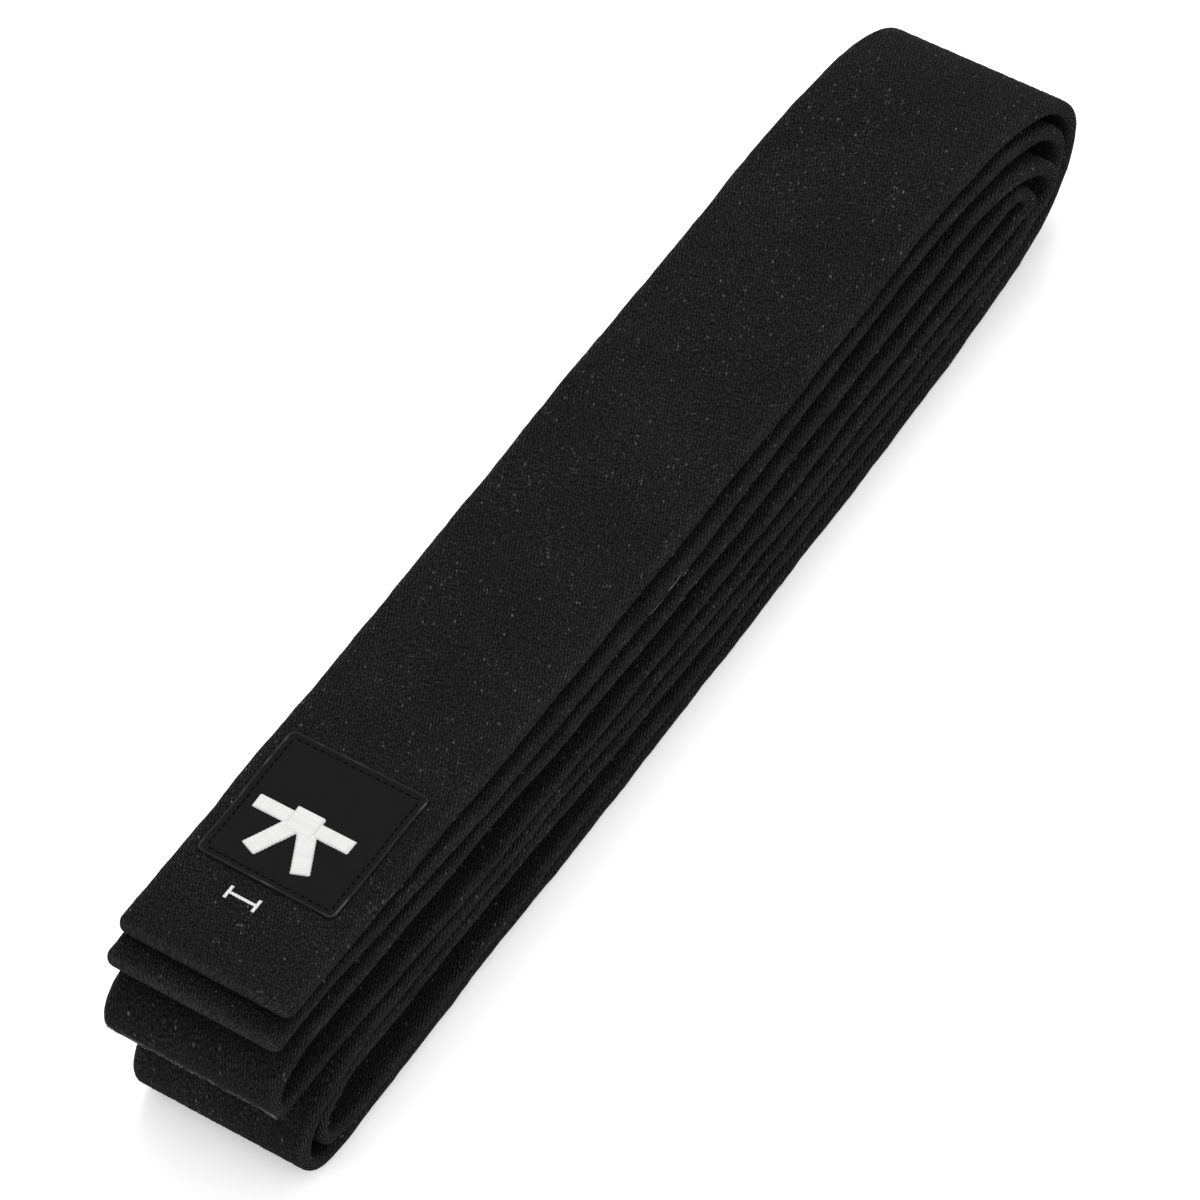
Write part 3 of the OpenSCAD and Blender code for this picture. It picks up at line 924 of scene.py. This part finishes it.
def make_label_stitches(material):
    gathered = Gathered()
    pitch = 2.2
    for sign in (-1, 1):
        for along, half_run, fixed in (
            ("x", LABEL_W / 2 - STITCH_INSET, sign * (LABEL_L / 2 - STITCH_INSET)),
            ("y", LABEL_L / 2 - STITCH_INSET, sign * (LABEL_W / 2 - STITCH_INSET)),
        ):
            count = int(2 * half_run / pitch)
            for i in range(count):
                at = (i - (count - 1) / 2) * pitch + rng.uniform(-0.08, 0.08)
                x, y = (at, fixed) if along == "x" else (fixed, at)
                ds, dx = (0, 1) if along == "x" else (1, 0)
                lozenge(gathered, LABEL_S + y, LABEL_X + x, LABEL_LIFT + 0.13, ds, dx, 1.7, 0.42, 0.17)
    piece = gathered.finish("label_stitching_thread", material)
    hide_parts("label_stitching")
    return piece


EMBLEM_SHIFT = (-1.7, -3.6)
BAND = (27, 4.6)
KNOT = 8.0
TAIL = (5, 13)
TAIL_ANGLE = 24
SATIN_STEP = 0.35


def satin_block(sheets, middle, size, angle, height, along_x=True):
    """A padded block of satin stitch: its threads lie across it, in a crowned closed form."""
    w, l = size
    gx, gy = grid(max(8, int(w / SATIN_STEP)), max(8, int(l / SATIN_STEP)))
    near = np.minimum((1 - np.abs(gx)) * w / 2, (1 - np.abs(gy)) * l / 2)
    h = height * np.sqrt(np.clip(1 - (1 - np.clip(near / 0.55, 0, 1)) ** 2, 0, 1))
    ends, flanks = np.abs(gx) > 0.97, np.abs(gy) > 0.97
    ragged = 0.07 * np.sin(gy * 37 + 3) * ends + 0.07 * np.sin(gx * 41) * flanks
    lx, ly = gx * (w / 2 + ragged), gy * (l / 2 + ragged)
    t = math.radians(angle)
    x = middle[0] + lx * math.cos(t) - ly * math.sin(t) + EMBLEM_SHIFT[0]
    y = middle[1] + lx * math.sin(t) + ly * math.cos(t) + EMBLEM_SHIFT[1]
    u, v = (lx, ly) if along_x else (ly, lx)
    sheets.add(label_world(x, y, 0.4 + h), label_world(x, y, np.full_like(x, 0.2)), u, v)


def make_emblem(material):
    """A tied belt: a band, two tails and the knot over them."""
    sheets = Sheets()
    half = (BAND[0] - KNOT) / 2 + 0.6
    for sign in (-1, 1):
        middle = (sign * (KNOT / 2 + half / 2 - 0.5), BAND[1] / 2)
        satin_block(sheets, middle, (half, BAND[1]), 0, 0.42)
        t = math.radians(sign * TAIL_ANGLE)
        drop = TAIL[1] / 2 + 1
        middle = (sign * 1.8 + drop * math.sin(t), 1 - drop * math.cos(t))
        satin_block(sheets, middle, TAIL, sign * TAIL_ANGLE, 0.45 + 0.04 * sign, False)
    satin_block(sheets, (0, KNOT / 2 - 1.6), (KNOT, KNOT), 0, 0.62, False)
    piece = sheets.finish("label_emblem_embroidery", material)
    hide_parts("label_emblem")
    return piece


MARK = (8.0, 4.2, 0.8)
MARK_STEP = 0.25
MARK_PLACE = (17.8 - LABEL_W / 2, -6.4 - LABEL_L / 2)


def make_size_mark(material):
    """A printed measuring line between two end ticks."""
    mid_x, mid_y = MARK_PLACE
    width, tick, line = MARK
    sheets = Sheets()
    across_ends = [((sign * width / 2, 0), (line, tick)) for sign in (-1, 1)]
    for (cx, cy), (w, l) in [((0, 0), (width - line, line))] + across_ends:
        gx, gy = grid(max(3, int(w / MARK_STEP)), max(3, int(l / MARK_STEP)))
        rough = 0.05 * np.sin(gy * 23 + gx * 31)
        x = mid_x + cx + gx * (w / 2 + rough * (np.abs(gx) > 0.99))
        y = mid_y + cy + gy * (l / 2 + rough * (np.abs(gy) > 0.99))
        s, across = LABEL_S + y, LABEL_X + x
        edge = np.maximum(np.abs(gx), np.abs(gy)) > 0.99
        top = world(s, across, HALF + PILLOW + 0.12 - 0.05 * edge)
        sheets.add(top, world(s, across, HALF - 0.1 + 0 * s), x, y)
    piece = sheets.finish("size_mark_print", material)
    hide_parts("size_mark")
    return piece


# ---- lint and frayed fibres ----


def fibre(gathered, path, radius):
    """A short closed tube along a few points in metres."""
    path = np.asarray(path)
    tangent = unit(np.gradient(path, axis=0))
    aside = unit(np.cross(tangent, np.array([0.31, 0.17, 0.93])))
    up = np.cross(tangent, aside)
    turns = np.arange(4) / 4 * 2 * math.pi
    taper = np.sin(np.linspace(0.35, math.pi - 0.35, len(path)))[:, None, None] * radius * MM
    ring = aside[:, None, :] * np.cos(turns)[None, :, None] + up[:, None, :] * np.sin(turns)[None, :, None]
    length = np.concatenate([[0], np.cumsum(np.linalg.norm(np.diff(path, axis=0), axis=1))])
    gathered.tube(path[:, None, :] + ring * taper, np.linspace(0, 0.3 * MM, 5), length)


FIRST_RUN = 345
HAIR_S = 171


def make_lint(material, crease_s):
    gathered = Gathered()
    steps = np.linspace(0, 1, 6)
    runs = [
        (3, FIRST_RUN, 1, 900), (FIRST_RUN, LENGTH - FIRST_RUN, 1, 300),
        (FIRST_RUN, LENGTH - FIRST_RUN, -1, 300), (LENGTH - FIRST_RUN, LENGTH - 3, -1, 90),
    ]
    for low, high, side, count in runs:
        for _ in range(count):
            s0, x0 = rng.uniform(low, high), rng.uniform(-24.2, 24.2)
            length = rng.choice([0.4, 0.7, 1.1, 2.0], p=[0.45, 0.35, 0.17, 0.03]) * rng.uniform(0.8, 1.3)
            angle, curl = rng.uniform(0, 2 * math.pi), rng.uniform(-1.6, 1.6)
            turn = angle + curl * steps
            s = s0 + np.cumsum(np.cos(turn)) * length / 6
            x = np.clip(x0 + np.cumsum(np.sin(turn)) * length / 6, -24.6, 24.6)
            h = surface_h(s, x) + 0.05 + rng.uniform(0, 0.12) * np.sin(steps * math.pi)
            fibre(gathered, world(s, x, h * side), rng.uniform(0.018, 0.04))
    # on the strap's edges
    for _ in range(420):
        s0, h0, edge = rng.uniform(4, LENGTH - 4), rng.uniform(-1.4, 1.4), rng.choice([-1, 1])
        length, angle = rng.choice([0.4, 0.8, 1.3]) * rng.uniform(0.8, 1.2), rng.uniform(-1, 1)
        s = s0 + length * steps * math.cos(angle)
        h = np.clip(h0 + length * steps * math.sin(angle), -1.6, 1.6)
        x = edge * (25.02 + 0.05 * np.sin(steps * math.pi))
        fibre(gathered, world(s, x, h), rng.uniform(0.02, 0.045))
    # one long hair on the second run's edge, with a tuft ahead of it
    way = np.linspace(0, 1, 22)
    s = LENGTH - HAIR_S + 8 - 15 * way
    h = 1.0 * np.sin(way * 4.2) - 0.5 + 0.25 * np.sin(way * 17)
    fibre(gathered, world(s, 25.1 + 0.12 * np.sin(way * 9), h), 0.055)
    for _ in range(5):
        s = LENGTH - HAIR_S - 9 + rng.normal(0, 0.7) + rng.normal(0, 0.8) * steps
        fibre(gathered, world(s, 25.1 + 0.2 * steps, 1.2 - rng.uniform(0.8, 2.2) * steps), 0.045)
    # loose ends stand up along the worn crease, thickest at its right corner and towards its left
    for centre, spread, count in (
        (23.4, 0.8, 40), (-15, 0.9, 34), (-4, 3, 20), (2, 10, 46), (-24.2, 0.5, 8),
    ):
        for _ in range(count):
            x0 = np.clip(rng.normal(centre, spread), -24.8, 24.8)
            s0 = crease_s + rng.normal(0, 0.5)
            length = rng.uniform(0.4, 1.3)
            lean_s, lean_x = rng.normal(0, 0.6), rng.normal(0, 0.6)
            s = s0 + lean_s * length * steps
            x = x0 + lean_x * length * steps + 0.2 * np.sin(steps * 4) * rng.normal(0, 1)
            x = np.clip(x, -24.9, 24.9)
            h = HALF + 0.1 + 0.22 * length * np.sin(steps * rng.uniform(1.2, 2.8))
            fibre(gathered, world(s, x, h), rng.uniform(0.03, 0.055))
    piece = gathered.finish("cover_lint", material)
    return piece


# ---- stage ----

VIEW_AZIMUTH = math.radians(31.7)
VIEW_ELEVATION = math.radians(52.1)
FRAME_WIDTH = 0.288
VIEW_DISTANCE = 12.0
AIM_RIGHT = 0.0008
AIM_UP = 0.0116
SENSOR_WIDTH = 36
LIGHTS_AIM = (0, 0, 0.03)
FLOOR_HALF = 9.0


def make_camera():
    e, a = VIEW_ELEVATION, VIEW_AZIMUTH
    towards = np.array([math.cos(e) * math.sin(a), -math.cos(e) * math.cos(a), math.sin(e)])
    right = np.array([math.cos(a), math.sin(a), 0])
    up = np.cross(towards, right)
    target = right * AIM_RIGHT + up * AIM_UP
    data = bpy.data.cameras.new("camera")
    data.sensor_width = SENSOR_WIDTH
    data.lens = SENSOR_WIDTH * VIEW_DISTANCE / FRAME_WIDTH
    data.clip_start = 0.1
    data.clip_end = 60
    camera = new_object("camera", data)
    camera.location = target + towards * VIEW_DISTANCE
    camera.rotation_euler = (math.pi / 2 - e, 0, a)
    bpy.context.scene.camera = camera


def area_light(name, place, size, power):
    data = bpy.data.lights.new(name, "AREA")
    data.shape = "DISK"
    data.size = size
    data.energy = power
    lamp = new_object(name, data)
    lamp.location = place
    away = np.array(place, float) - np.array(LIGHTS_AIM, float)
    lamp.rotation_euler = (
        math.atan2(math.hypot(away[0], away[1]), away[2]), 0, math.atan2(away[1], away[0]) + math.pi / 2
    )


def glowing_floor_paper():
    m = Nodes("pale_floor_painted_glow", 0.8, specular=0.1)
    place = m.tree.nodes.new("ShaderNodeTexCoord").outputs["Object"]
    grain = m.noise(place, 320, 3)
    m.colour(m.mix(grain, (0.88, 0.88, 0.88, 1), (0.92, 0.92, 0.92, 1)))
    m.bump(grain, 0.00003, 0.3)
    # the floor glows a little: painted light that lightens the belt's shadow on it
    m.shader.inputs["Emission Color"].default_value = (1, 1, 1, 1)
    m.shader.inputs["Emission Strength"].default_value = 0.3
    return m.material


def make_stage():
    signs = [(-1, -1), (1, -1), (1, 1), (-1, 1)]
    corners = np.array([[x * FLOOR_HALF, y * FLOOR_HALF, 0] for x, y in signs])
    floor = build("floor", corners, [np.array([[0, 1, 2, 3]])], glowing_floor_paper(), smooth=False)
    world_data = bpy.data.worlds.new("studio")
    world_data.use_nodes = True
    sky = world_data.node_tree.nodes["Background"]
    sky.inputs["Color"].default_value = (1, 1, 1, 1)
    sky.inputs["Strength"].default_value = 0.85
    bpy.context.scene.world = world_data
    area_light("key", (-0.5, 0.9, 1.5), 1.1, 15)
    area_light("fill", (1.3, -0.5, 1.2), 1.2, 5)
    area_light("front", (-0.4, -1.4, 0.9), 1.0, 4)
    bpy.context.scene.view_settings.view_transform = "Standard"


# ---- the whole belt ----


def main():
    make_camera()
    make_stage()
    row_thread = sewing_thread("row_thread", 0.016)
    cover, crease_s = make_cover(twill_cloth())
    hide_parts("cover")
    on_strap = make_rows(row_thread)
    on_strap.append(make_end_stitches("label_end_thread", "label_end_stitching", 0, row_thread))
    on_strap.append(make_end_stitches("plain_end_thread", "plain_end_stitching", 1, row_thread))
    on_strap += make_plies(core_cloth())
    on_strap.append(make_patch(label_ribbon()))
    on_strap.append(make_border(label_edge()))
    on_strap.append(make_label_stitches(sewing_thread("label_thread", 0.0025, 0.015)))
    on_strap.append(make_emblem(satin_stitch()))
    on_strap.append(make_size_mark(printed_ink()))
    on_strap.append(make_lint(lint_fibre(), crease_s))
    for piece in [cover] + on_strap:
        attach(piece, BODY)


main()
